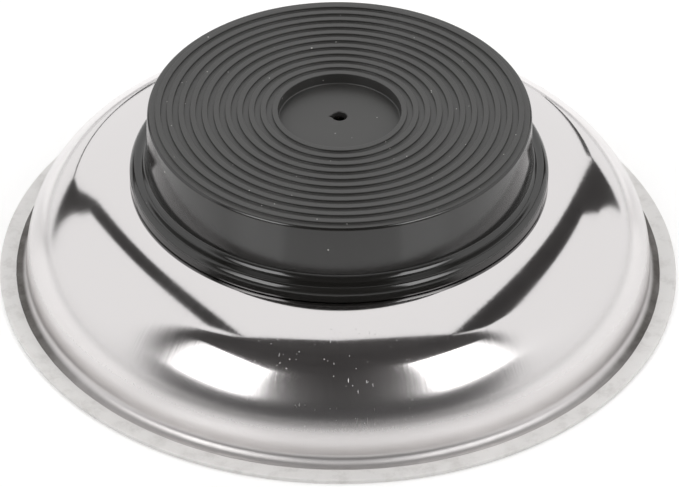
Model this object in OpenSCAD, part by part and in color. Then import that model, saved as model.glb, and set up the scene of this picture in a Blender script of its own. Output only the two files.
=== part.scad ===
/* [Magnet] */
// Outside diameter of the ring magnet
magnet_d = 78; // [60:0.5:90]
// Thickness of the ring magnet
magnet_t = 13; // [8:0.5:20]
// Thickness of the steel pole plate that the magnet clings to
plate_t = 2; // [1:0.1:4]
// How far the pole plate's edge stays inside the magnet's edge
plate_inset = 1; // [0:0.1:3]

/* [Rubber boot] */
// Wall of the boot at the edge of its face
boot_wall = 2.6; // [1.5:0.1:4]
// How much wider the boot is at its foot than at its face, on the radius
boot_draft = 0.5; // [0:0.1:1.5]
// Thickness of the boot's face under its ribs
boot_face_t = 1.9; // [1:0.1:4]
// Rounding of the edge of the face
boot_edge_r = 0.6; // [0.2:0.1:1]
// How far the flange stands out from the foot of the wall
flange_w = 3.5; // [2.5:0.1:6]
// Thickness of the flange
flange_t = 3.3; // [2:0.1:5]
// Rounding of the flange's upper edge
flange_edge_r = 1.4; // [0.2:0.1:1.8]
// Fillet between the wall and the flange
flange_fillet_r = 0.5; // [0.2:0.1:1.5]

/* [Boot face] */
// Diameter of the round recess in the middle of the face
recess_d = 26.9; // [20:0.1:32]
// Depth of the recess below the rib tops
recess_depth = 2.6; // [1.5:0.1:4]
// Rubber under and around the recess
recess_wall = 1.6; // [1:0.1:3]
// Diameter of the vent hole in the recess
vent_d = 3.2; // [1:0.1:6]
// How far the vent hole lies behind the middle of the recess
vent_offset = 1.4; // [0:0.1:5]
// Distance from one ring-shaped rib to the next
rib_pitch = 2.55; // [1.8:0.05:4]
// Width of a rib
rib_w = 1.25; // [0.8:0.05:1.6]
// Height of a rib
rib_h = 0.5; // [0.2:0.05:1]
// Least width of the plain ledge outside the last rib
ledge_w = 1.5; // [0.8:0.1:3]

/* [Dish] */
// Thickness of the dish's sheet
sheet_t = 0.9; // [0.5:0.05:1.2]
// How far the flat base shows outside the boot's flange
base_margin = 0.6; // [0.3:0.1:2]
// Radius of the gently curved slope between the flat base and the shoulder
slope_r = 82; // [60:1:160]
// Slope where it leaves the flat base, in degrees
slope_angle = 15; // [8:0.5:19]
// Slope where it meets the shoulder, in degrees
shoulder_angle = 23; // [20:0.5:32]
// Radius of the rounded shoulder
shoulder_r = 19.2; // [12:0.1:26]
// Straight stretch of wall under the shoulder
wall_h = 1.1; // [0.5:0.1:8]
// Radius of the hollow between the wall and the lip
root_r = 2.25; // [1:0.05:4]
// Width of the flat lip
lip_w = 3.75; // [2.5:0.05:8]

/* [Fastening] */
// Thread diameter of the centre screw
screw_d = 5; // [4:0.5:6]
// Diameter of the screw's head
head_d = 9.5; // [8:0.1:12]
// Height of the screw's head
head_h = 3; // [2:0.1:4]
// Width of the screw's cross recess
cross_w = 1.2; // [0.8:0.1:1.6]
// Span of the screw's cross recess
cross_span = 5; // [3:0.1:6]
// Depth of the screw's cross recess
cross_depth = 1.6; // [1:0.1:2]
// Length of thread that stands past the nut
screw_tail = 0.8; // [0.4:0.1:1.5]
// Diameter of the washer under the head
head_washer_d = 15; // [12:0.5:20]
// Thickness of the washer under the head
head_washer_t = 1.2; // [0.8:0.1:2]
// Diameter of the washer under the nut
nut_washer_d = 10; // [9:0.5:12]
// Thickness of the washer under the nut
nut_washer_t = 1; // [0.8:0.1:1.5]
// Diameter of the split lock washer
lock_washer_d = 9.2; // [8:0.1:10]
// Thickness of the lock washer
lock_washer_t = 1.2; // [0.8:0.1:1.5]
// Gap at the lock washer's split
lock_gap = 0.8; // [0.4:0.1:1.2]
// Width of the nut across its flats
nut_flats = 8; // [7:0.1:10]
// Height of the nut
nut_h = 4; // [3:0.1:5]
// Thickness of the web in the floor of the centring bush
bush_web_t = 1.2; // [0.8:0.1:2]
// Thickness of the centring bush's wall
bush_wall = 2.5; // [1.5:0.1:4]
// Height of the centring bush
bush_h = 7; // [4:0.1:9]
// Thickness of the bonded ring under the boot's flange
bond_t = 0.2; // [0.1:0.05:0.4]
// How far the bonded ring stays inside the flange's edges
bond_inset = 0.9; // [0.4:0.1:1.5]

/* [Fits] */
// Radial clearance between the magnet and the boot
magnet_fit = 0.3; // [0.1:0.05:0.6]
// Radial clearance between the magnet's bore and the boot's recess
recess_fit = 0.6; // [0.3:0.05:1]
// Radial clearance between the centring bush and the magnet's bore
bush_fit = 0.25; // [0.1:0.05:0.5]
// Radial clearance of the plain holes round the screw
hole_fit = 0.25; // [0.1:0.05:0.4]
// Radial clearance that stands for the nut's thread
thread_fit = 0.05; // [0.02:0.01:0.1]

/* [Hidden] */
$fn = 96;
// Run of a cut past the face that it opens
overrun = 1;
// Number of straight steps in a tightly rounded stretch of the dish's section
arc_steps = 24;
// Number of straight steps in its slope
slope_steps = 8;

// Radii of the boot, from the magnet outwards
boot_in_r = magnet_d / 2 + magnet_fit;
boot_face_r = boot_in_r + boot_wall;
boot_foot_r = boot_face_r + boot_draft;
flange_r = boot_foot_r + flange_w;
recess_r = recess_d / 2;
boss_r = recess_r + recess_wall;
magnet_bore_r = boss_r + recess_fit;

// Radii of the dish, from the boot outwards
base_r = flange_r + base_margin;
slope_centre_r = base_r - slope_r * sin(slope_angle);
shoulder_centre_r = slope_centre_r + (slope_r - shoulder_r) * sin(shoulder_angle);
wall_r = shoulder_centre_r + shoulder_r;
root_centre_r = wall_r + root_r;
rim_r = root_centre_r + lip_w;

// Heights of the dish above the plane of its rim, which it stands on mouth down
root_centre_z = sheet_t + root_r;
shoulder_centre_z = root_centre_z + wall_h;
slope_centre_z = shoulder_centre_z - (slope_r - shoulder_r) * cos(shoulder_angle);
base_z = slope_centre_z + slope_r * cos(slope_angle);

// Heights of the boot and of what it holds, above the dish's base
magnet_top = plate_t + magnet_t;
flange_top = bond_t + flange_t;
rib_floor = magnet_top + boot_face_t;
rib_top = rib_floor + rib_h;
recess_floor = rib_top - recess_depth;
boss_under = recess_floor - recess_wall;
rib_count = floor((boot_face_r - ledge_w - recess_r - rib_w) / rib_pitch) + 1;

// The fastening's heights, above the dish's base, from the head up to the screw's end
screw_r = screw_d / 2;
hole_r = screw_r + hole_fit;
head_washer_foot = -sheet_t - head_washer_t;
head_foot = head_washer_foot - head_h;
web_top = plate_t + bush_web_t;
lock_washer_foot = web_top + nut_washer_t;
nut_foot = lock_washer_foot + lock_washer_t;
screw_end = nut_foot + nut_h + screw_tail;
bush_r = magnet_bore_r - bush_fit;

// Points of an arc about a centre, past its start and up to its end
function arc(centre, r, from, to, steps) =
  [for (k = [1 : steps]) let (a = from + (to - from) * k / steps) centre + r * [cos(a), sin(a)]];

// A list from its end to its start
function reversed(list) = [for (k = [len(list) - 1 : -1 : 0]) list[k]];

// The angle at which the slope, moved inwards by inset, meets the base
function slope_start(inset) = asin((base_z - inset - slope_centre_z) / (slope_r - inset));

// The angle at which the slope meets the shoulder
slope_end = 90 - shoulder_angle;

// The dish's outer surface moved inwards by inset, from the screw's hole out to the rim
function dish_line(inset) = concat(
  [[hole_r, base_z - inset]],
  [[slope_centre_r + (slope_r - inset) * cos(slope_start(inset)), base_z - inset]],
  arc([slope_centre_r, slope_centre_z], slope_r - inset, slope_start(inset), slope_end, slope_steps),
  arc([shoulder_centre_r, shoulder_centre_z], shoulder_r - inset, slope_end, 0, arc_steps),
  [[wall_r - inset, root_centre_z]],
  arc([root_centre_r, root_centre_z], root_r + inset, 180, 270, arc_steps),
  [[rim_r, sheet_t - inset]]
);

// What it holds stands on the dish's base
module on_base() {
  translate([0, 0, base_z])
    children();
}

// A plain flat ring with its foot at a height above the dish's base
module ring(outer_r, inner_r, foot, h) {
  on_base()
    translate([0, 0, foot])
      difference() {
        cylinder(r = outer_r, h = h);
        translate([0, 0, -overrun])
          cylinder(r = inner_r, h = h + 2 * overrun);
      }
}

// Pressed stainless dish, mouth down, with one hole for the centre screw
module dish() {
  color("silver")
    rotate_extrude()
      polygon(concat(dish_line(0), reversed(dish_line(sheet_t))));
}

// A quarter of a disc, for a rounded outer edge whose centre is at [r, z]
module round_edge(r, z, edge_r) {
  translate([r, z])
    intersection() {
      circle(r = edge_r);
      square(edge_r);
    }
}

// Half section of the boot's wall and face, without its ribs
module boot_cap() {
  edge_centre_r = boot_face_r - boot_edge_r;
  edge_centre_z = rib_floor - boot_edge_r;
  polygon([
    [0, bond_t],
    [boot_foot_r, bond_t],
    [boot_foot_r, flange_top + flange_fillet_r],
    [boot_face_r, edge_centre_z],
    [edge_centre_r, edge_centre_z],
    [edge_centre_r, rib_floor],
    [0, rib_floor]
  ]);
  round_edge(edge_centre_r, edge_centre_z, boot_edge_r);
}

// Half section of the boot's flange and of the fillet above it
module boot_flange() {
  difference() {
    translate([boot_foot_r, flange_top])
      square(flange_fillet_r);
    translate([boot_foot_r + flange_fillet_r, flange_top + flange_fillet_r])
      circle(r = flange_fillet_r);
  }
  translate([boot_foot_r, bond_t])
    square([flange_w, flange_t - flange_edge_r]);
  translate([boot_foot_r, bond_t])
    square([flange_w - flange_edge_r, flange_t]);
  round_edge(flange_r - flange_edge_r, flange_top - flange_edge_r, flange_edge_r);
}

// Half section of the boot's hollow, which the recess hangs down into
module boot_hollow() {
  difference() {
    square([boot_in_r, magnet_top]);
    translate([0, boss_under])
      square([boss_r, rib_top - boss_under]);
  }
}

// Moulded rubber boot: cap, flange, ring-shaped ribs, recess and vent hole
module rubber_boot() {
  color([0.2, 0.2, 0.2])
    on_base()
      difference() {
        rotate_extrude()
          difference() {
            union() {
              boot_cap();
              boot_flange();
              for (k = [0 : rib_count - 1])
                translate([recess_r + k * rib_pitch, magnet_top])
                  square([rib_w, rib_top - magnet_top]);
            }
            boot_hollow();
            translate([0, recess_floor])
              square([recess_r, recess_depth + overrun]);
          }
        translate([0, vent_offset, boss_under - overrun])
          cylinder(d = vent_d, h = recess_wall + 2 * overrun);
      }
}

// Ferrite ring magnet that lies on the pole plate
module ring_magnet() {
  color("dimgray")
    ring(magnet_d / 2, magnet_bore_r, plate_t, magnet_t);
}

// Steel pole plate that the screw clamps to the dish's base
module pole_plate() {
  color("slategray")
    ring(magnet_d / 2 - plate_inset, hole_r, 0, plate_t);
}

// Moulded cup that the screw clamps and that keeps the magnet centred
module centring_bush() {
  color("ivory") {
    ring(bush_r, hole_r, plate_t, bush_web_t);
    ring(bush_r, bush_r - bush_wall, plate_t, bush_h);
  }
}

// Bonded ring between the boot's flange and the dish's base
module bond_ring() {
  color("gray")
    ring(flange_r - bond_inset, boot_in_r + bond_inset, 0, bond_t);
}

// Cross-head screw whose head lies inside the dish
module centre_screw() {
  color("lightgray")
    on_base()
      difference() {
        union() {
          translate([0, 0, head_foot])
            cylinder(d = head_d, h = head_h);
          translate([0, 0, head_foot])
            cylinder(r = screw_r, h = screw_end - head_foot);
        }
        for (turn = [0, 90])
          rotate([0, 0, turn])
            translate([-cross_span / 2, -cross_w / 2, head_foot - overrun])
              cube([cross_span, cross_w, cross_depth + overrun]);
      }
}

// Washer between the screw's head and the inside of the dish
module head_washer() {
  color("lightgray")
    ring(head_washer_d / 2, hole_r, head_washer_foot, head_washer_t);
}

// Plain washer between the bush's web and the lock washer
module nut_washer() {
  color("lightgray")
    ring(nut_washer_d / 2, hole_r, web_top, nut_washer_t);
}

// Split lock washer under the nut
module lock_washer() {
  color("gray")
    difference() {
      ring(lock_washer_d / 2, hole_r, lock_washer_foot, lock_washer_t);
      on_base()
        translate([0, -lock_gap / 2, lock_washer_foot - overrun])
          cube([lock_washer_d, lock_gap, lock_washer_t + 2 * overrun]);
    }
}

// Hex nut that clamps the stack
module hex_nut() {
  color("lightgray")
    on_base()
      translate([0, 0, nut_foot])
        difference() {
          cylinder(d = nut_flats / cos(30), h = nut_h, $fn = 6);
          translate([0, 0, -overrun])
            cylinder(r = screw_r + thread_fit, h = nut_h + 2 * overrun);
        }
}

dish();
rubber_boot();
ring_magnet();
pole_plate();
centring_bush();
bond_ring();
centre_screw();
head_washer();
nut_washer();
lock_washer();
hex_nut();
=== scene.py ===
"""Models and lights a round magnetic parts tray that lies mouth down on a pale floor."""

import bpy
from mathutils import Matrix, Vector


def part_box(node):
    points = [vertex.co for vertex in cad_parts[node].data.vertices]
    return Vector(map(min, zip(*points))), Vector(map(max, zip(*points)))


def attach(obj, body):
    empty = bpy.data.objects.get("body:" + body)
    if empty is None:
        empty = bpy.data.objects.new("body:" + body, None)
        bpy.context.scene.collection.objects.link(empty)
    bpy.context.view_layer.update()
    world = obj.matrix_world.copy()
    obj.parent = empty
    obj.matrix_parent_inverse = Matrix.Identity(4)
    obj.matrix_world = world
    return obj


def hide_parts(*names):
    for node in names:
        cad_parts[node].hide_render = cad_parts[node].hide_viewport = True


bl_info = {
    "name": "Magnetic parts tray",
    "version": (1, 0, 0),
    "blender": (4, 5, 0),
    "location": "View3D > Sidebar > Parts tray",
    "description": "Models a steel parts tray with a rubber boot over its magnet, and its studio",
    "category": "Object",
}

from math import atan2, cos, pi, radians, sin, tan

import bmesh
import bpy
from bpy.props import FloatProperty, FloatVectorProperty, IntProperty, PointerProperty
from mathutils import Matrix, Vector

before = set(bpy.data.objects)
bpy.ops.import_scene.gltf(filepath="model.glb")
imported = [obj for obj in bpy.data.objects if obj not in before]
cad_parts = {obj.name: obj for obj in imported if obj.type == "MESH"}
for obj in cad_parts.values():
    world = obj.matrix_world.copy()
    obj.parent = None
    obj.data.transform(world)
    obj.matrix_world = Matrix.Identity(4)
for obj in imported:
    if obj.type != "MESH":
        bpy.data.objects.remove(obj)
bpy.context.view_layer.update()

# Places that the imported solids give, in metres
DISH_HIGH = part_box("dish")[1]
BOOT_LOW, BOOT_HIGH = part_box("rubber_boot")
MAGNET_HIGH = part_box("ring_magnet")[1]
SCREW_LOW, SCREW_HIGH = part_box("centre_screw")
WASHER_LOW, WASHER_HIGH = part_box("head_washer")

# Modelling tolerances, in metres
SEED_SIZE = 0.01
WELD = 1e-6
SUPPORT = 0.00012
FINE_R = 0.0005
BASE_MARGIN = 0.0006

# Modelling shares, steps and angles
LARGEST_INSET = 0.4
LARGE_STEPS = 3
EDGE_STEPS = 5
NICK_ZONE = 1.3
VENT_ZONE = 2
SWING_DIGITS = 4
CHAMFER_SHARE = 0.2
SMOOTH_ANGLE = radians(50)
SLOT_ANGLE = radians(40)

# Zones of finish on the dish and the boot, in metres
DRAWN_Z = (0.011, 0.0232)
SCUFFED_Z = (0.004, 0.01)
WORN_X = (0.012, 0.026)
WORN_Y = (-0.056, -0.048)
WORN_Z = (0.0125, 0.0155)
LIP_WANDER = 0.0003
LIP_START, LIP_FULL = 0.0001, 0.0002
ROOT_NEAR, ROOT_FAR = 0.0026, 0.0028
# Fade of the darker colour painted into the root beside the lip
ROOT_DARK_FADE = 0.0012
FACE_RIM_START, FACE_RIM_END = 0.0007, 0.0002
FACE_LOW, FACE_HIGH = 0.004, 0.0036

# Shares of the wall's radius, towards the front, between which the darker colour painted into the root
# fades to about half
ROOT_FRONT_NEAR, ROOT_FRONT_FAR = 0.8, 0.35

# How soon a cell of the pattern of specks counts as chosen
CHANCE_EDGE = 0.002

# Colours, darker before lighter where there are two
WHITE = (1, 1, 1, 1)
BLACK = (0, 0, 0, 1)
ZINC_WARM = (0.7, 0.69, 0.66, 1)
PLATE_TONES = (0.36, 0.36, 0.37, 1), (0.52, 0.52, 0.53, 1)
FERRITE_TONES = (0.05, 0.05, 0.053, 1), (0.1, 0.1, 0.105, 1)
NYLON_TONES = (0.7, 0.68, 0.6, 1), (0.8, 0.78, 0.72, 1)
ADHESIVE_TONES = (0.22, 0.19, 0.13, 1), (0.38, 0.34, 0.25, 1)
CLOTH_TONES = (0.055, 0.053, 0.053, 1), (0.085, 0.081, 0.08, 1)
SOFTBOX_DIM = (0.3, 0.3, 0.3, 1)


class DishSizes(bpy.types.PropertyGroup):
    """Sizes of the pressed steel dish."""

    sheet_t: FloatProperty(
        name="Sheet", description="Thickness of the sheet", default=0.0009, unit="LENGTH")
    hole_r: FloatProperty(
        name="Screw hole", description="Radius of the screw's hole", default=0.00275, unit="LENGTH")
    base_r: FloatProperty(
        name="Base", description="Radius of the flat base", default=BOOT_HIGH.x + BASE_MARGIN,
        unit="LENGTH")
    bend_r: FloatProperty(
        name="Bend", description="Radius of the bend round the base", default=0.003, unit="LENGTH")
    slope_r: FloatProperty(
        name="Slope", description="Radius of the gently curved slope", default=0.082, unit="LENGTH")
    slope_angle: FloatProperty(
        name="Slope at base", description="Slope beside the base", default=radians(15), subtype="ANGLE")
    shoulder_angle: FloatProperty(
        name="Slope at shoulder", description="Slope beside the shoulder", default=radians(23),
        subtype="ANGLE")
    shoulder_r: FloatProperty(
        name="Shoulder", description="Radius of the rounded shoulder", default=0.0192, unit="LENGTH")
    root_r: FloatProperty(
        name="Root", description="Radius of the hollow beside the lip", default=0.00225, unit="LENGTH")
    lip_w: FloatProperty(
        name="Lip", description="Width of the flat lip", default=0.00375, unit="LENGTH")
    edge_r: FloatProperty(
        name="Lip's edge", description="Rounding of the lip's edge", default=0.00018, unit="LENGTH")
    segments: IntProperty(name="Segments", description="Faces round the dish", default=288)


class BootSizes(bpy.types.PropertyGroup):
    """Sizes of the moulded rubber boot."""

    face_r: FloatProperty(
        name="Face", description="Radius of the ribbed face", default=0.0419, unit="LENGTH")
    foot_r: FloatProperty(
        name="Foot", description="Radius of the wall above the flange", default=0.0424, unit="LENGTH")
    edge_r: FloatProperty(
        name="Face edge", description="Rounding of the face's edge", default=0.0006, unit="LENGTH")
    flange_t: FloatProperty(
        name="Flange", description="Thickness of the flange", default=0.0033, unit="LENGTH")
    flange_edge_r: FloatProperty(
        name="Flange edge", description="Rounding of the flange's edge", default=0.0016, unit="LENGTH")
    fillet_r: FloatProperty(
        name="Fillet", description="Fillet between wall and flange", default=0.0014, unit="LENGTH")
    magnet_fit: FloatProperty(
        name="Magnet fit", description="Gap round the magnet", default=0.0003, unit="LENGTH")
    recess_r: FloatProperty(
        name="Recess", description="Radius of the middle recess", default=0.01345, unit="LENGTH")
    recess_depth: FloatProperty(
        name="Recess depth", description="Depth below the rib tops", default=0.0026, unit="LENGTH")
    recess_wall: FloatProperty(
        name="Recess wall", description="Rubber round the recess", default=0.0016, unit="LENGTH")
    vent_r: FloatProperty(
        name="Vent", description="Radius of the vent hole", default=0.0016, unit="LENGTH")
    vent_offset: FloatProperty(
        name="Vent offset", description="How far the vent lies behind the middle", default=0.0014,
        unit="LENGTH")
    nick_w: FloatProperty(
        name="Vent nick", description="Depth of the nick beside the vent", default=0.0008, unit="LENGTH")
    rib_count: IntProperty(name="Ribs", description="Number of ring-shaped ribs", default=11)
    rib_pitch: FloatProperty(
        name="Rib pitch", description="Distance between ribs", default=0.00255, unit="LENGTH")
    rib_w: FloatProperty(
        name="Rib width", description="Width of a rib", default=0.00125, unit="LENGTH")
    rib_h: FloatProperty(
        name="Rib height", description="Height of a rib", default=0.0005, unit="LENGTH")
    rib_edge_r: FloatProperty(
        name="Rib edge", description="Rounding of a rib's edges", default=0.00012, unit="LENGTH")
    segments: IntProperty(name="Segments", description="Faces round the boot", default=224)


class FasteningSizes(bpy.types.PropertyGroup):
    """Sizes of the screw and the washer that show inside the dish."""

    screw_r: FloatProperty(
        name="Thread", description="Radius of the screw's shank", default=0.0025, unit="LENGTH")
    dome_r: FloatProperty(
        name="Head edge", description="Rounding of the pan head", default=0.0014, unit="LENGTH")
    cross_w: FloatProperty(
        name="Cross width", description="Width of the cross recess", default=0.0012, unit="LENGTH")
    cross_span: FloatProperty(
        name="Cross span", description="Span of the cross recess", default=0.005, unit="LENGTH")
    cross_depth: FloatProperty(
        name="Cross depth", description="Depth of the cross recess", default=0.0016, unit="LENGTH")
    washer_edge_r: FloatProperty(
        name="Washer edge", description="Rounding of the washer", default=0.00025, unit="LENGTH")
    hole_r: FloatProperty(
        name="Washer hole", description="Radius of the washer's hole", default=0.00275, unit="LENGTH")
    segments: IntProperty(name="Segments", description="Faces round the fastening", default=96)


class FinishColours(bpy.types.PropertyGroup):
    """Colours of the pieces that show."""

    steel: FloatVectorProperty(
        name="Steel", description="Polished steel", default=(0.745, 0.722, 0.72), subtype="COLOR")
    lip: FloatVectorProperty(
        name="Lip", description="Satin steel of the lip", default=(0.84, 0.825, 0.81), subtype="COLOR")
    lip_stain: FloatVectorProperty(
        name="Lip stains", description="Stains on the lip", default=(0.6, 0.58, 0.56), subtype="COLOR")
    # A darker colour painted into the root beside the lip
    root_dark: FloatVectorProperty(
        name="Darkening", description="Grime in the root beside the lip", default=(0.1, 0.091, 0.084),
        subtype="COLOR")
    rubber: FloatVectorProperty(
        name="Rubber", description="Black rubber", default=(0.0145, 0.0138, 0.0126), subtype="COLOR")
    # Lighter tone of the ribbed face: partly painted light, the top lit more than the wall, and partly
    # random mottling
    rubber_face: FloatVectorProperty(
        name="Rubber face", description="Rubber of the ribbed face", default=(0.036, 0.035, 0.0332),
        subtype="COLOR")
    dust: FloatVectorProperty(
        name="Dust", description="Dust on the rubber", default=(0.55, 0.54, 0.52), subtype="COLOR")
    zinc: FloatVectorProperty(
        name="Zinc", description="Zinc plate", default=(0.62, 0.63, 0.65), subtype="COLOR")


class StudioSettings(bpy.types.PropertyGroup):
    """The floor, the lights and the camera."""

    lens: FloatProperty(
        name="Lens", description="Focal length of the camera in millimetres", default=293.8)
    camera_distance: FloatProperty(
        name="Camera distance", description="From the tray's origin", default=1.2316, unit="LENGTH")
    camera_elevation: FloatProperty(
        name="Elevation", description="Camera's height angle", default=radians(37.88), subtype="ANGLE")
    camera_roll: FloatProperty(
        name="Roll", description="Camera's turn about its line of sight", default=radians(0.53),
        subtype="ANGLE")
    aim: FloatVectorProperty(
        name="Aim", description="Point in the middle of the picture", default=(0.00025, 0, 0.0064),
        unit="LENGTH")
    floor_r: FloatProperty(
        name="Floor", description="Radius of the floor", default=9, unit="LENGTH")
    studio_r: FloatProperty(
        name="Studio", description="Distance of the flags", default=4, unit="LENGTH")
    softbox_level: FloatProperty(
        name="Softboxes", description="Brightness of the two softboxes", default=4)
    sky_level: FloatProperty(
        name="Tent", description="Brightness of the white tent", default=1)
    floor_colour: FloatVectorProperty(
        name="Floor colour", description="Floor round the tray", default=(0.8, 0.795, 0.79),
        subtype="COLOR")
    floor_far: FloatVectorProperty(
        name="Far floor", description="Floor outside the pool of light", default=(0.6, 0.595, 0.59),
        subtype="COLOR")


class TraySettings(bpy.types.PropertyGroup):
    """All that a user can change."""

    dish: PointerProperty(type=DishSizes)
    boot: PointerProperty(type=BootSizes)
    fastening: PointerProperty(type=FasteningSizes)
    colours: PointerProperty(type=FinishColours)
    studio: PointerProperty(type=StudioSettings)


# Outlines

def arc(centre, radius, start, end, steps):
    """Points of an arc about a centre, with angles from the outward direction."""
    turn = (end - start) / steps
    angles = [start + turn * k for k in range(steps + 1)]
    return [centre + radius * Vector((cos(a), sin(a))) for a in angles]


def stretch(start, end):
    """A straight stretch, with points close to its ends that keep its shading flat."""
    inset = min(SUPPORT / (end - start).length, LARGEST_INSET)
    return [start, start.lerp(end, inset), start.lerp(end, 1 - inset), end]


def rounded(corners, steps):
    """A closed outline through (radius, height, rounding) corners, with more steps in large roundings."""
    bends = []
    for k, (radius, height, rounding) in enumerate(corners):
        here = Vector((radius, height))
        before = (Vector(corners[k - 1][:2]) - here).normalized()
        after = (Vector(corners[(k + 1) % len(corners)][:2]) - here).normalized()
        if rounding == 0:
            bends.append([here])
            continue
        half = before.angle(after) / 2
        centre = here + (before + after).normalized() * rounding / sin(half)
        first = here + before * rounding / tan(half) - centre
        last = here + after * rounding / tan(half) - centre
        count = steps if rounding < FINE_R else LARGE_STEPS * steps
        bends.append([centre + rounding * first.slerp(last, j / count) for j in range(count + 1)])
    outline = []
    for bend, following in zip(bends, bends[1:] + bends[:1]):
        outline += bend + stretch(bend[-1], following[0])[1:-1]
    return outline + outline[:1]


# Modelling

def lathe(name, outline, segments):
    """Spins a half section of (radius, height) points about the tray's axis into a closed skin."""
    bpy.ops.object.select_all(action="DESELECT")
    bpy.ops.mesh.primitive_plane_add(size=SEED_SIZE)
    piece = bpy.context.object
    piece.name = name
    piece.data.name = name
    bpy.ops.object.mode_set(mode="EDIT")
    bpy.ops.mesh.merge(type="CENTER")
    bpy.ops.transform.translate(value=(outline[0].x, 0, outline[0].y))
    for here, there in zip(outline, outline[1:]):
        step = there - here
        bpy.ops.mesh.extrude_vertices_move(TRANSFORM_OT_translate={"value": (step.x, 0, step.y)})
    bpy.ops.mesh.select_all(action="SELECT")
    bpy.ops.mesh.spin(steps=segments, angle=2 * pi, center=(0, 0, 0), axis=(0, 0, 1))
    bpy.ops.mesh.select_all(action="SELECT")
    bpy.ops.mesh.remove_doubles(threshold=WELD)
    bpy.ops.mesh.normals_make_consistent(inside=False)
    bpy.ops.object.mode_set(mode="OBJECT")
    bpy.ops.object.shade_smooth_by_angle(angle=SMOOTH_ANGLE)
    return piece


def finish_piece(piece, material, node):
    """Gives a piece its finish, and lets it stand for its solid."""
    piece.data.materials.clear()
    piece.data.materials.append(material)
    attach(piece, "root")
    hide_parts(node)


# Shader maths

class Wire:
    """A shader socket that takes part in Python sums."""

    def __init__(self, shade, socket):
        self.shade = shade
        self.socket = socket

    def math(self, operation, *values):
        return self.shade.node("ShaderNodeMath", {"operation": operation}, dict(enumerate(values)))

    def most(self, other):
        return self.math("MAXIMUM", self, other)

    def size(self):
        return self.math("ABSOLUTE", self)

    def __add__(self, other):
        return self.math("ADD", self, other)

    def __sub__(self, other):
        return self.math("SUBTRACT", self, other)

    def __rsub__(self, other):
        return self.math("SUBTRACT", other, self)

    def __mul__(self, other):
        return self.math("MULTIPLY", self, other)

    __radd__ = __add__
    __rmul__ = __mul__

    def step(self, low, high):
        """Nought below low, one above high, and smooth between."""
        return self.shade.node(
            "ShaderNodeMapRange", {"interpolation_type": "SMOOTHSTEP"},
            {"Value": self, "From Min": low, "From Max": high})

    def other(self, name):
        """Another output of the node that this socket is on."""
        return Wire(self.shade, self.socket.node.outputs[name])


class Shade:
    """A node tree, with one method that adds any node."""

    def __init__(self, tree):
        self.tree = tree
        tree.nodes.clear()

    def node(self, kind, settings=None, sockets=None, output=0):
        made = self.tree.nodes.new(kind)
        for key, value in (settings or {}).items():
            setattr(made, key, value)
        for key, value in (sockets or {}).items():
            if isinstance(value, Wire):
                self.tree.links.new(value.socket, made.inputs[key])
            else:
                made.inputs[key].default_value = value
        return Wire(self, made.outputs[output]) if made.outputs else None

    def vector(self, operation, *values, output=0):
        return self.node("ShaderNodeVectorMath", {"operation": operation}, dict(enumerate(values)), output)

    def noise(self, place, scale, detail=3, roughness=0.5):
        return self.node(
            "ShaderNodeTexNoise", {"noise_dimensions": "3D"},
            {"Vector": place, "Scale": scale, "Detail": detail, "Roughness": roughness})

    def mix(self, share, first, second):
        return self.node(
            "ShaderNodeMix", {"data_type": "RGBA"}, {0: share, 6: first, 7: second}, 2)

    def bump(self, height, distance, strength):
        return self.node(
            "ShaderNodeBump", {}, {"Height": height, "Distance": distance, "Strength": strength})

    def place(self):
        """The place on the piece, in metres."""
        return self.node("ShaderNodeTexCoord", {}, {}, "Object")

    def part(self, vector, axis):
        """One coordinate of a vector."""
        return self.node("ShaderNodeSeparateXYZ", {}, {0: vector}, axis)


def new_material(name):
    """A material with an empty tree."""
    material = bpy.data.materials.new(name)
    material.use_nodes = True
    return material, Shade(material.node_tree)


def surface(shade, **sockets):
    """Ends a tree with a principled shader, whose sockets are named with underscores."""
    named = {key.replace("_", " "): value for key, value in sockets.items()}
    shader = shade.node("ShaderNodeBsdfPrincipled", {}, named)
    shade.node("ShaderNodeOutputMaterial", {}, {"Surface": shader})


def rgba(colour):
    return (*colour, 1)


def polar(shade):
    """Object place, its part across the axis, distance from the axis and height."""
    place = shade.place()
    flat = shade.vector("MULTIPLY", place, (1, 1, 0))
    radius = shade.vector("LENGTH", flat, output="Value")
    return place, flat, radius, shade.part(place, "Z")


def unrolled(shade, aim, run, across, along):
    """A place on the slope laid out flat, where across is units per radian and along is per metre."""
    spread = shade.node("ShaderNodeVectorMath", {"operation": "SCALE"}, {0: aim, "Scale": across})
    lift = shade.node("ShaderNodeCombineXYZ", {}, {"Z": run * along})
    return shade.vector("ADD", spread, lift)


def meridian_lines(shade, aim, run, across, along):
    """Fine lines that run from the base to the lip."""
    return shade.noise(unrolled(shade, aim, run, across, along), 1, detail=2, roughness=0.6)


def specks(shade, place, scale, size, share):
    """Small round specks, in a share of the cells of a Voronoi pattern."""
    cells = shade.node("ShaderNodeTexVoronoi", {"feature": "F1"}, {"Vector": place, "Scale": scale})
    chance = shade.part(cells.other("Color"), "X")
    return (1 - cells.step(size * 0.5, size)) * chance.step(1 - share, 1 - share + CHANCE_EDGE)


def streaks(shade, aim, run, across, along, size, share):
    """Specks drawn out round the axis or along the slope, by how many cells a radian and a metre hold."""
    return specks(shade, unrolled(shade, aim, run, across, along), 1, size, share)


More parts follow.
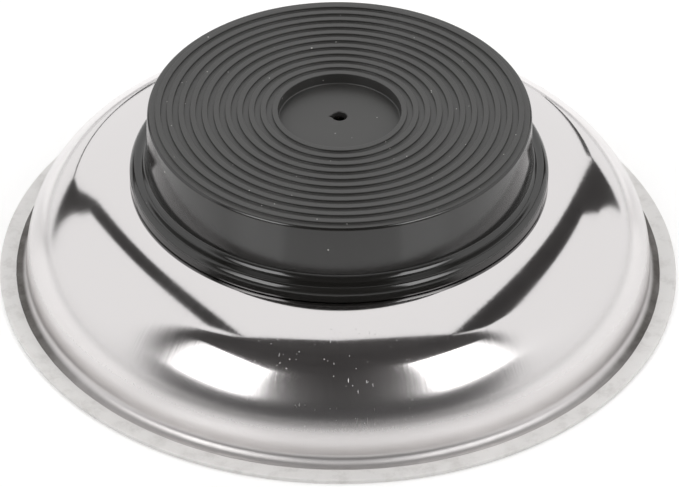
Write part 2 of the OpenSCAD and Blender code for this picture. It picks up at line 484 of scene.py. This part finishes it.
def polished_steel(colours, dish):
    """Polished sheet: draw lines, handling marks, a root beside the lip painted darker and duller, and a
    satin lip.
    """
    material, shade = new_material("polished_steel")
    place, flat, radius, height = polar(shade)
    aim = shade.vector("NORMALIZE", flat)
    run = radius - height
    fine = meridian_lines(shade, aim, run, across=170, along=45)
    broad = meridian_lines(shade, aim, run, across=34, along=12)
    blotch = shade.noise(place, 260, detail=4, roughness=0.65)
    smear = shade.noise(place, 45, detail=3, roughness=0.5).step(0.45, 0.75)
    drawn = 1 - height.step(*DRAWN_Z)
    scuffed = 1 - height.step(*SCUFFED_Z)

    lip_r = DISH_HIGH.x - dish.lip_w
    lip = (radius + (blotch - 0.5) * LIP_WANDER).step(lip_r + LIP_START, lip_r + LIP_FULL)
    # The root beside the lip is painted darker, duller and less metallic, and less so towards the front
    wall_r = lip_r - dish.root_r
    across = radius - lip_r
    over = height - (dish.sheet_t + dish.root_r)
    outside = 1 - (across * across + over * over).step(ROOT_NEAR ** 2, ROOT_FAR ** 2)
    sides = shade.part(place, "X")
    depth = sides.other("Y")
    root_front = 1 - depth.step(-wall_r * ROOT_FRONT_NEAR, -wall_r * ROOT_FRONT_FAR)
    root_dark = radius.step(wall_r, wall_r + ROOT_DARK_FADE) * (1 - lip) * outside * (1 - root_front * 0.55)

    worn = (1 - sides.size().step(*WORN_X)) * (1 - depth.step(*WORN_Y))
    worn = worn * height.step(*WORN_Z)
    crowd = shade.noise(place, 150, detail=2).step(0.45, 0.6)
    dashes = streaks(shade, aim, run, across=260, along=240, size=0.2, share=0.16)
    nicks = streaks(shade, aim, run, across=14, along=1100, size=0.1, share=0.16)
    flecks = specks(shade, place, 1500, size=0.24, share=0.16)
    mark = dashes.most(nicks).most(flecks) * (0.04 + worn * crowd * 0.96) * (1 - lip)

    lines = fine.step(0.35, 0.8)
    mirror = 0.055 + drawn * 0.19 + scuffed * 0.16 + lines * 0.02 + smear * 0.015 + mark * 0.35
    dull = 0.36 + blotch.step(0.3, 0.7) * 0.16
    rough = mirror + lip.most(root_dark) * (dull - mirror)
    stained = shade.mix(blotch.step(0.45, 0.75) * 0.5, rgba(colours.lip), rgba(colours.lip_stain))
    base = shade.mix(lip, rgba(colours.steel), stained)
    base = shade.mix(root_dark * (0.8 + blotch * 0.3), base, rgba(colours.root_dark))
    relief = fine * (0.5 + drawn * 2.5) + broad + mark * 3 + lip * blotch * 8
    surface(
        shade, Base_Color=base, Metallic=1 - lip * 0.85 - root_dark * 0.45, Roughness=rough, Anisotropic=0.5,
        Normal=shade.bump(relief, distance=0.000006, strength=0.6))
    return material


def black_rubber(colours, boot):
    """Moulded black rubber: matt, dusty and lighter on the ribbed face, glossier and darker on the wall.
    """
    material, shade = new_material("black_rubber")
    place, _, radius, height = polar(shade)
    within = 1 - radius.step(boot.face_r - FACE_RIM_START, boot.face_r - FACE_RIM_END)
    face = within * height.step(BOOT_HIGH.z - FACE_LOW, BOOT_HIGH.z - FACE_HIGH)
    mottle = shade.noise(place, 900, detail=4, roughness=0.65)
    cloud = shade.noise(place, 70, detail=3, roughness=0.5)
    crumbs = specks(shade, place, 480, size=0.12, share=0.025)
    powder = specks(shade, place, 1100, size=0.18, share=0.03)
    dust = crumbs.most(powder * face)
    # The ribbed face's lighter tone is partly painted light, the top lit more than the wall, and partly
    # random mottling
    lit_face_and_mottle = face * (0.75 + cloud * 0.5 + (mottle - 0.5) * 0.3)
    tone = shade.mix(lit_face_and_mottle, rgba(colours.rubber), rgba(colours.rubber_face))
    base = shade.mix(dust, tone, rgba(colours.dust))
    matt = 0.12 + face * 0.29 + (mottle - 0.5) * 0.06
    surface(
        shade, Base_Color=base, Roughness=matt, Specular_IOR_Level=0.75,
        Normal=shade.bump(mottle, distance=0.000016, strength=0.3))
    return material


def zinc_plate(colours):
    """Bright zinc plate with a faint grain."""
    material, shade = new_material("zinc_plate")
    place = shade.place()
    grain = shade.noise(place, 900, detail=3, roughness=0.6)
    tarnish = shade.noise(place, 250, detail=2).step(0.35, 0.7)
    tint = shade.mix(tarnish, rgba(colours.zinc), ZINC_WARM)
    surface(
        shade, Base_Color=tint, Metallic=1, Roughness=0.24 + grain * 0.16,
        Normal=shade.bump(grain, distance=0.00001, strength=0.3))
    return material


def cold_rolled_steel():
    """Mild steel plate with rolling lines along X."""
    material, shade = new_material("cold_rolled_steel")
    drawn = shade.vector("MULTIPLY", shade.place(), (40, 2500, 400))
    lines = shade.noise(drawn, 1, detail=3, roughness=0.6)
    tone = shade.mix(lines, *PLATE_TONES)
    surface(
        shade, Base_Color=tone, Metallic=1, Roughness=0.32 + lines * 0.2,
        Normal=shade.bump(lines, distance=0.00001, strength=0.4))
    return material


def ferrite():
    """Ground grey ferrite with pores."""
    material, shade = new_material("ferrite")
    grain = shade.noise(shade.place(), 1200, detail=4, roughness=0.7)
    tone = shade.mix(grain.step(0.35, 0.7), *FERRITE_TONES)
    surface(
        shade, Base_Color=tone, Roughness=0.55 + grain * 0.25,
        Normal=shade.bump(grain, distance=0.00003, strength=0.5))
    return material


def moulded_nylon():
    """Off-white moulded nylon."""
    material, shade = new_material("moulded_nylon")
    place = shade.place()
    cloud = shade.noise(place, 120, detail=3, roughness=0.5)
    tone = shade.mix(cloud, *NYLON_TONES)
    surface(
        shade, Base_Color=tone, Roughness=0.4 + cloud * 0.15,
        Normal=shade.bump(shade.noise(place, 900), distance=0.00002, strength=0.3))
    return material


def cured_adhesive():
    """Amber contact adhesive with bubbles."""
    material, shade = new_material("cured_adhesive")
    cloud = shade.noise(shade.place(), 500, detail=4, roughness=0.6)
    tone = shade.mix(cloud, *ADHESIVE_TONES)
    surface(
        shade, Base_Color=tone, Roughness=0.35 + cloud * 0.3,
        Normal=shade.bump(cloud, distance=0.00004, strength=0.5))
    return material


# Pieces

def dish_line(sizes, inset, steps):
    """The dish's outer surface moved inwards by inset, from the screw's hole to the lip's edge."""
    base_z = DISH_HIGH.z
    slope = Vector((
        sizes.base_r - sizes.slope_r * sin(sizes.slope_angle),
        base_z - sizes.slope_r * cos(sizes.slope_angle)))
    leave = Vector((sin(sizes.shoulder_angle), cos(sizes.shoulder_angle)))
    shoulder = slope + (sizes.slope_r - sizes.shoulder_r) * leave
    wall_r = shoulder.x + sizes.shoulder_r
    root = Vector((wall_r + sizes.root_r, sizes.sheet_t + sizes.root_r))
    bend = Vector((sizes.base_r - sizes.bend_r * tan(sizes.slope_angle / 2), base_z - sizes.bend_r))
    bend_end = pi / 2 - sizes.slope_angle
    slope_begin = atan2(
        bend.y + sizes.bend_r * sin(bend_end) - slope.y, bend.x + sizes.bend_r * cos(bend_end) - slope.x)
    leave_angle = pi / 2 - sizes.shoulder_angle
    base = stretch(Vector((sizes.hole_r, base_z - inset)), Vector((bend.x, base_z - inset)))
    wall = stretch(Vector((wall_r - inset, shoulder.y)), Vector((wall_r - inset, root.y)))
    return (
        base
        + arc(bend, sizes.bend_r - inset, pi / 2, bend_end, steps["bend"])[1:]
        + arc(slope, sizes.slope_r - inset, slope_begin, leave_angle, steps["slope"])[1:]
        + arc(shoulder, sizes.shoulder_r - inset, leave_angle, 0, steps["shoulder"])[1:]
        + wall[1:]
        + arc(root, sizes.root_r + inset, pi, 1.5 * pi, steps["root"])[1:])


class TRAY_OT_dish(bpy.types.Operator):
    """Models the pressed dish with its slope, shoulder, root and flat lip"""

    bl_idname = "tray.dish"
    bl_label = "Dish"

    def execute(self, context):
        tray = context.scene.tray
        sizes = tray.dish
        outer = dish_line(sizes, 0, {"bend": 6, "slope": 18, "shoulder": 56, "root": 28})
        inner = dish_line(sizes, sizes.sheet_t, {"bend": 4, "slope": 8, "shoulder": 32, "root": 16})
        rim_r = DISH_HIGH.x
        edge = sizes.edge_r
        upper = Vector((rim_r - edge, sizes.sheet_t - edge))
        lower = Vector((rim_r - edge, edge))
        brim = (
            stretch(outer[-1], upper + Vector((0, edge)))[1:]
            + arc(upper, edge, pi / 2, 0, EDGE_STEPS)[1:]
            + arc(lower, edge, 0, -pi / 2, EDGE_STEPS)
            + stretch(lower - Vector((0, edge)), inner[-1])[1:-1])
        outline = outer + brim + inner[::-1] + outer[:1]
        piece = lathe("dish_shell", outline, sizes.segments)
        finish_piece(piece, polished_steel(tray.colours, sizes), "dish")
        return {"FINISHED"}


def place_vent(piece, boot, floor_z):
    """Draws a few points of the vent's wall outwards into a small torn nick, and moves the vent back."""
    reach = boot.nick_w / boot.vent_r
    bpy.ops.object.mode_set(mode="EDIT")
    mesh = bmesh.from_edit_mesh(piece.data)
    low = floor_z - boot.recess_wall - WELD
    chosen = {}
    for vertex in mesh.verts:
        radius = vertex.co.xy.length
        swing = abs(atan2(vertex.co.y, -vertex.co.x))
        if radius < boot.vent_r * NICK_ZONE and swing < reach and vertex.co.z > low:
            chosen.setdefault(round(swing, SWING_DIGITS), []).append(vertex)
    for swing, vertices in chosen.items():
        bpy.ops.mesh.select_all(action="DESELECT")
        for vertex in vertices:
            vertex.select = True
        bmesh.update_edit_mesh(piece.data)
        pull = boot.nick_w * (1 - swing / reach) ** 2
        bpy.ops.transform.translate(value=(-pull, 0, 0))
    for vertex in mesh.verts:
        vertex.select = vertex.co.xy.length < VENT_ZONE * boot.vent_r
    bmesh.update_edit_mesh(piece.data)
    bpy.ops.transform.translate(value=(0, boot.vent_offset, 0))
    bpy.ops.object.mode_set(mode="OBJECT")


class TRAY_OT_boot(bpy.types.Operator):
    """Models the rubber boot with its ribs, recess, vent, wall and flange"""

    bl_idname = "tray.boot"
    bl_label = "Rubber boot"

    def execute(self, context):
        tray = context.scene.tray
        boot = tray.boot
        top = BOOT_HIGH.z
        groove_z = top - boot.rib_h
        floor_z = top - boot.recess_depth
        under_z = floor_z - boot.recess_wall
        edge = boot.rib_edge_r
        inner_r = MAGNET_HIGH.x + boot.magnet_fit
        boss_r = boot.recess_r + boot.recess_wall
        flange_z = BOOT_LOW.z + boot.flange_t
        corners = [
            (boot.vent_r, under_z, 0),
            (boot.vent_r, floor_z, 2 * edge),
            (boot.recess_r, floor_z, 2 * edge),
        ]
        for k in range(boot.rib_count):
            start = boot.recess_r + k * boot.rib_pitch
            end = start + boot.rib_w
            if k > 0:
                corners.append((start, groove_z, edge))
            corners += [(start, top, edge), (end, top, edge), (end, groove_z, edge)]
        corners += [
            (boot.face_r, groove_z, boot.edge_r),
            (boot.foot_r, flange_z, boot.fillet_r),
            (BOOT_HIGH.x, flange_z, boot.flange_edge_r),
            (BOOT_HIGH.x, BOOT_LOW.z, edge),
            (inner_r, BOOT_LOW.z, edge),
            (inner_r, MAGNET_HIGH.z, edge),
            (boss_r, MAGNET_HIGH.z, edge),
            (boss_r, under_z, edge),
        ]
        piece = lathe("boot_skin", rounded(corners, steps=3), boot.segments)
        place_vent(piece, boot, floor_z)
        finish_piece(piece, black_rubber(tray.colours, boot), "rubber_boot")
        return {"FINISHED"}


def cut_bar(piece, size, place):
    """Cuts a straight slot out of a piece with a box."""
    bpy.ops.object.select_all(action="DESELECT")
    bpy.ops.mesh.primitive_cube_add(size=1, location=place)
    cutter = bpy.context.object
    bpy.ops.transform.resize(value=size)
    bpy.ops.object.transform_apply(location=True, rotation=True, scale=True)
    bpy.context.view_layer.objects.active = piece
    trim = piece.modifiers.new("slot", "BOOLEAN")
    trim.object = cutter
    trim.operation = "DIFFERENCE"
    bpy.ops.object.modifier_apply(modifier=trim.name)
    bpy.data.objects.remove(cutter)


class TRAY_OT_fastening(bpy.types.Operator):
    """Models the pan-head screw and the washer inside the dish"""

    bl_idname = "tray.fastening"
    bl_label = "Screw and washer"

    def execute(self, context):
        tray = context.scene.tray
        sizes = tray.fastening
        zinc = zinc_plate(tray.colours)
        head_r = SCREW_HIGH.x
        chamfer = sizes.screw_r * CHAMFER_SHARE
        corners = [
            (0, SCREW_LOW.z, 0),
            (head_r, SCREW_LOW.z, sizes.dome_r),
            (head_r, WASHER_LOW.z, sizes.washer_edge_r),
            (sizes.screw_r, WASHER_LOW.z, 0),
            (sizes.screw_r, SCREW_HIGH.z - chamfer, 0),
            (sizes.screw_r - chamfer, SCREW_HIGH.z, 0),
            (0, SCREW_HIGH.z, 0),
        ]
        screw = lathe("pan_screw", rounded(corners, steps=8), sizes.segments)
        depth = 2 * sizes.cross_depth
        for size in ((sizes.cross_span, sizes.cross_w, depth), (sizes.cross_w, sizes.cross_span, depth)):
            cut_bar(screw, size, (0, 0, SCREW_LOW.z))
        bpy.ops.object.shade_smooth_by_angle(angle=SLOT_ANGLE)
        finish_piece(screw, zinc, "centre_screw")
        rim = WASHER_HIGH.x
        edge = sizes.washer_edge_r
        ring = [
            (sizes.hole_r, WASHER_LOW.z, edge),
            (rim, WASHER_LOW.z, edge),
            (rim, WASHER_HIGH.z, edge),
            (sizes.hole_r, WASHER_HIGH.z, edge),
        ]
        washer = lathe("plain_washer", rounded(ring, steps=5), sizes.segments)
        finish_piece(washer, zinc, "head_washer")
        return {"FINISHED"}


class TRAY_OT_core(bpy.types.Operator):
    """Gives the held pieces under the boot their finishes"""

    bl_idname = "tray.core"
    bl_label = "Magnet and held pieces"

    def execute(self, context):
        zinc = bpy.data.materials["zinc_plate"]
        finishes = {
            "ring_magnet": ferrite(),
            "pole_plate": cold_rolled_steel(),
            "centring_bush": moulded_nylon(),
            "bond_ring": cured_adhesive(),
            "nut_washer": zinc,
            "lock_washer": zinc,
            "hex_nut": zinc,
        }
        for name, material in finishes.items():
            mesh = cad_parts[name].data
            mesh.materials.clear()
            mesh.materials.append(material)
        return {"FINISHED"}


# Studio

# The floor's opening and drop, and the heights between which a flag's foot changes tone, in metres
FLOOR_INSET = 0.001
FLOOR_DROP = 0.0002
FOOT_Z = (-0.5, 1.6)

# The pool of light on the floor: its place and fade as shares of the dish's radius, and its strength
POOL_BACK = 0.8
POOL_START, POOL_END = 1.9, 3
POOL_LIFT = 0.32

# Finish and fineness of the floor and the cards
FLOOR_GLOSS = 0.14
CLOTH_MATT = 0.9
FLOOR_SIDES = 128
CARD_CUTS = 10

# Shares of the studio's radius and of a card's width
SOFTBOX_SHARE = 0.6
SOFTBOX_DIM_SHARE = 0.4
FADING_SHARE = 0.5
FADE_END = 1.001

# The camera's sensor in millimetres and its sight in metres
SENSOR_W = 36
SIGHT_LIMIT = 100

# Corners of the flags and lights as degrees from the zenith and from the front, right positive
TENT_FRONT_LEFT = (17, -121)
TENT_FRONT_MIDDLE = (8, 180)
TENT_FRONT_RIGHT = (20.7, 120)
TENT_EDGE_LEFT = (59, -148)
TENT_EDGE_RIGHT = (58, 150)
TENT_BACK_LEFT = (74.5, -148.5)
TENT_BACK_RIGHT = (74.5, 154.5)
LEFT_WALL_TOP_FRONT = (23.7, -122)
LEFT_WALL_TOP_BACK = (58.5, -145)
LEFT_WALL_LOW_BACK = (88.5, -126.5)
RIGHT_WALL_TOP_FRONT = (27, 114)
RIGHT_WALL_TOP_BACK = (58, 146)
RIGHT_WALL_LOW_BACK = (84, 138.5)
FRONT_LOW_LEFT = (89.5, -40)
FRONT_LOW = (89.5, 0)
FRONT_LOW_RIGHT = (89.5, 35)
DARK_FOOT = (0.075, 0.072, 0.072, 1)
PALE_FOOT = (0.3, 0.3, 0.305, 1)
FRONT_FLAGS = {
    "flag_front_mid_left": (TENT_FRONT_MIDDLE, TENT_FRONT_LEFT, FRONT_LOW_LEFT, FRONT_LOW),
    "flag_front_mid_right": (TENT_FRONT_MIDDLE, TENT_FRONT_RIGHT, FRONT_LOW_RIGHT, FRONT_LOW),
}
FLAGS = {
    "flag_gap_left": (TENT_FRONT_LEFT, LEFT_WALL_TOP_FRONT, LEFT_WALL_TOP_BACK, TENT_EDGE_LEFT),
    "flag_gap_right": (TENT_FRONT_RIGHT, RIGHT_WALL_TOP_FRONT, RIGHT_WALL_TOP_BACK, TENT_EDGE_RIGHT),
    "flag_corner_left": (TENT_EDGE_LEFT, LEFT_WALL_TOP_BACK, LEFT_WALL_LOW_BACK, TENT_BACK_LEFT),
    "flag_corner_right": (TENT_EDGE_RIGHT, RIGHT_WALL_TOP_BACK, RIGHT_WALL_LOW_BACK, TENT_BACK_RIGHT),
    "flag_back_left": (TENT_BACK_LEFT, (73.9, -149.5), (88.9, -167.6), (89.5, -166.8)),
    "flag_back_right": (TENT_BACK_RIGHT, (73.9, 155.5), (88.9, 165.4), (89.5, 164.6)),
}
# These two fade out towards their second and third corners
SOFT_FLAGS = {
    "flag_front_left": (TENT_FRONT_LEFT, (27.5, -110), (88, -72), FRONT_LOW_LEFT),
    "flag_front_right": (TENT_FRONT_RIGHT, (28.5, 104), (88, 63), FRONT_LOW_RIGHT),
}
SOFTBOXES = {
    "softbox_left": ((29, -82), (33, -33.5), (70, -30.5), (66, -63.5)),
    "softbox_right": ((29.5, 86), (25, 44), (67, 35), (61, 69)),
}


def heading(angles):
    """The direction at an angle from the zenith and an angle from the front."""
    zenith, turn = (radians(a) for a in angles)
    return Vector((sin(zenith) * sin(turn), -sin(zenith) * cos(turn), cos(zenith)))


def card(name, corners, distance, material):
    """A divided sheet with its four corners in the given directions, unseen by the camera."""
    bpy.ops.object.select_all(action="DESELECT")
    bpy.ops.mesh.primitive_plane_add(size=1)
    sheet = bpy.context.object
    sheet.name = name
    round_order = (corners[0], corners[1], corners[3], corners[2])
    bpy.ops.object.mode_set(mode="EDIT")
    mesh = bmesh.from_edit_mesh(sheet.data)
    mesh.verts.ensure_lookup_table()
    for k, angles in enumerate(round_order):
        bpy.ops.mesh.select_all(action="DESELECT")
        mesh.verts[k].select = True
        bmesh.update_edit_mesh(sheet.data)
        bpy.ops.transform.translate(value=heading(angles) * distance - mesh.verts[k].co)
    bpy.ops.mesh.select_all(action="SELECT")
    bpy.ops.mesh.subdivide(number_cuts=CARD_CUTS)
    bpy.ops.object.mode_set(mode="OBJECT")
    sheet.data.materials.append(material)
    sheet.visible_camera = False


def hang(sheets, distance, material):
    """Hangs a group of sheets at one distance."""
    for name, corners in sheets.items():
        card(name, corners, distance, material)


def glow(name, level):
    """A light panel that is dimmer towards its first and last corners."""
    material, shade = new_material(name)
    width = shade.part(shade.place().other("UV"), "X")
    tone = shade.mix(width.step(0, SOFTBOX_DIM_SHARE), SOFTBOX_DIM, WHITE)
    light = shade.node("ShaderNodeEmission", {}, {"Color": tone, "Strength": level})
    shade.node("ShaderNodeOutputMaterial", {}, {"Surface": light})
    return material


def flag_cloth(name, fade, foot):
    """Dark cloth whose foot has its own tone, and that thins out over a share of its width."""
    material, shade = new_material(name)
    place = shade.place()
    height = shade.part(place, "Z")
    tone = shade.mix(shade.noise(place, 3), *CLOTH_TONES)
    tone = shade.mix(1 - height.step(*FOOT_Z), tone, foot)
    cloth = shade.node("ShaderNodeBsdfPrincipled", {}, {"Base Color": tone, "Roughness": CLOTH_MATT})
    width = shade.part(place.other("UV"), "X")
    thin = width.step(1 - fade, FADE_END)
    clear = shade.node("ShaderNodeBsdfTransparent")
    both = shade.node("ShaderNodeMixShader", {}, {0: thin, 1: cloth, 2: clear})
    shade.node("ShaderNodeOutputMaterial", {}, {"Surface": both})
    return material


def floor_paint(studio):
    """Pale glossy floor, whitest in a soft pool round and behind the tray, that is clear from below."""
    material, shade = new_material("floor_paint")
    path = shade.node("ShaderNodeLightPath", {}, {}, "Is Camera Ray")
    seen = path + path.other("Is Glossy Ray") + path.other("Is Transmission Ray")
    reach = DISH_HIGH.x
    away = shade.vector("DISTANCE", shade.place(), (0, reach * POOL_BACK, 0), output="Value")
    pool = 1 - away.step(reach * POOL_START, reach * POOL_END)
    base = shade.mix(pool, rgba(studio.floor_far), rgba(studio.floor_colour))
    lift = shade.mix(seen * pool * POOL_LIFT, BLACK, WHITE)
    paint = shade.node("ShaderNodeBsdfPrincipled", {}, {
        "Base Color": base, "Roughness": FLOOR_GLOSS, "Emission Color": lift, "Emission Strength": 1})
    below = shade.node("ShaderNodeNewGeometry", {}, {}, "Backfacing")
    clear = shade.node("ShaderNodeBsdfTransparent")
    both = shade.node("ShaderNodeMixShader", {}, {0: below, 1: paint, 2: clear})
    shade.node("ShaderNodeOutputMaterial", {}, {"Surface": both})
    return material


class TRAY_OT_stage(bpy.types.Operator):
    """Sets the floor, the tent, the lights, the flags and the camera"""

    bl_idname = "tray.stage"
    bl_label = "Stage"

    def execute(self, context):
        studio = context.scene.tray.studio
        self.lay_floor(studio)
        away = studio.studio_r
        hang(FLAGS, away, flag_cloth("flag_cloth", 0, DARK_FOOT))
        hang(FRONT_FLAGS, away, flag_cloth("front_cloth", 0, PALE_FOOT))
        hang(SOFT_FLAGS, away, flag_cloth("fading_cloth", FADING_SHARE, PALE_FOOT))
        hang(SOFTBOXES, away * SOFTBOX_SHARE, glow("softbox_glow", studio.softbox_level))
        self.light_tent(context.scene, studio)
        self.place_camera(context.scene, studio)
        context.scene.view_settings.view_transform = "Standard"
        return {"FINISHED"}

    def lay_floor(self, studio):
        """A round floor with an opening under the dish, so that its inside is lit from below."""
        inner_r = DISH_HIGH.x - FLOOR_INSET
        bpy.ops.object.select_all(action="DESELECT")
        bpy.ops.mesh.primitive_circle_add(vertices=FLOOR_SIDES, radius=inner_r, location=(0, 0, 0))
        floor = bpy.context.object
        floor.name = "floor"
        bpy.ops.object.mode_set(mode="EDIT")
        bpy.ops.mesh.extrude_edges_move()
        grow = studio.floor_r / inner_r
        bpy.ops.transform.resize(value=(grow, grow, 1), center_override=(0, 0, 0))
        bpy.ops.mesh.select_all(action="SELECT")
        bpy.ops.mesh.flip_normals()
        bpy.ops.transform.translate(value=(0, 0, -FLOOR_DROP))
        bpy.ops.object.mode_set(mode="OBJECT")
        floor.data.materials.append(floor_paint(studio))

    def light_tent(self, scene, studio):
        """An even white tent all round."""
        world = bpy.data.worlds.new("tent")
        world.use_nodes = True
        scene.world = world
        shade = Shade(world.node_tree)
        light = shade.node(
            "ShaderNodeBackground", {}, {"Color": WHITE, "Strength": studio.sky_level})
        shade.node("ShaderNodeOutputWorld", {}, {"Surface": light})

    def place_camera(self, scene, studio):
        """A long lens at the picture's angle."""
        lens = bpy.data.cameras.new("camera")
        lens.lens = studio.lens
        lens.sensor_width = SENSOR_W
        lens.sensor_fit = "HORIZONTAL"
        lens.clip_end = SIGHT_LIMIT
        camera = bpy.data.objects.new("camera", lens)
        scene.collection.objects.link(camera)
        rise = studio.camera_elevation
        place = studio.camera_distance * Vector((0, -cos(rise), sin(rise)))
        sight = Vector(studio.aim) - place
        turned = sight.to_track_quat("-Z", "Y").to_matrix() @ Matrix.Rotation(studio.camera_roll, 3, "Z")
        camera.matrix_world = Matrix.Translation(place) @ turned.to_4x4()
        scene.camera = camera


class TRAY_PT_panel(bpy.types.Panel):
    """Lists the tray's steps"""

    bl_label = "Parts tray"
    bl_idname = "TRAY_PT_panel"
    bl_space_type = "VIEW_3D"
    bl_region_type = "UI"
    bl_category = "Parts tray"

    def draw(self, context):
        for step in STEPS:
            self.layout.operator(step.bl_idname)


STEPS = (TRAY_OT_dish, TRAY_OT_boot, TRAY_OT_fastening, TRAY_OT_core, TRAY_OT_stage)
CLASSES = (
    DishSizes, BootSizes, FasteningSizes, FinishColours, StudioSettings, TraySettings, *STEPS,
    TRAY_PT_panel)


def register():
    for item in CLASSES:
        bpy.utils.register_class(item)
    bpy.types.Scene.tray = PointerProperty(type=TraySettings)


def unregister():
    del bpy.types.Scene.tray
    for item in reversed(CLASSES):
        bpy.utils.unregister_class(item)


def main():
    register()
    bpy.ops.tray.dish()
    bpy.ops.tray.boot()
    bpy.ops.tray.fastening()
    bpy.ops.tray.core()
    bpy.ops.tray.stage()


if __name__ == "__main__":
    main()
